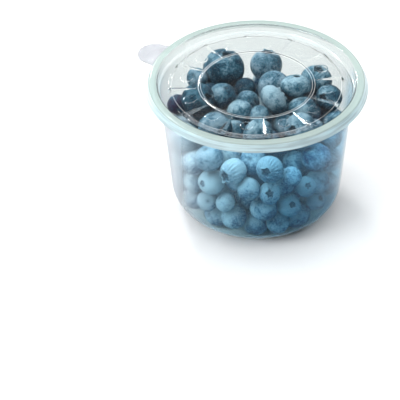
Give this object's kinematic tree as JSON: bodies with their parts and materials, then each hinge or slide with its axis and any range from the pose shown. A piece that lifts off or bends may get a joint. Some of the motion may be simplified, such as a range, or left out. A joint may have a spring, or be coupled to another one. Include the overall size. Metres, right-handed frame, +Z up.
{
  "type": "punnet of blueberries",
  "caption": "Round tapered clear plastic punnet with a press-fit clear lid and pull tab, filled with fresh blueberries.",
  "frame": {"origin": "centre of the flat underside of the tub's base", "axes": "+Z up through the middle of the lid, -Y towards the front as seen from the user, +X to the right; the pull tab is at the back left"},
  "size_m": [0.1232, 0.118, 0.0785],
  "materials": {
    "tub": "thin translucent polypropylene, slightly frosted",
    "lid": "thin clear moulded plastic, glossy, faintly green at its edges",
    "berries": "blueberry skin under a pale waxy bloom"
  },
  "bodies": {
    "root": {"tub": "tub", "lid": "lid", "berries": "berries"}
  },
  "joints": []
}
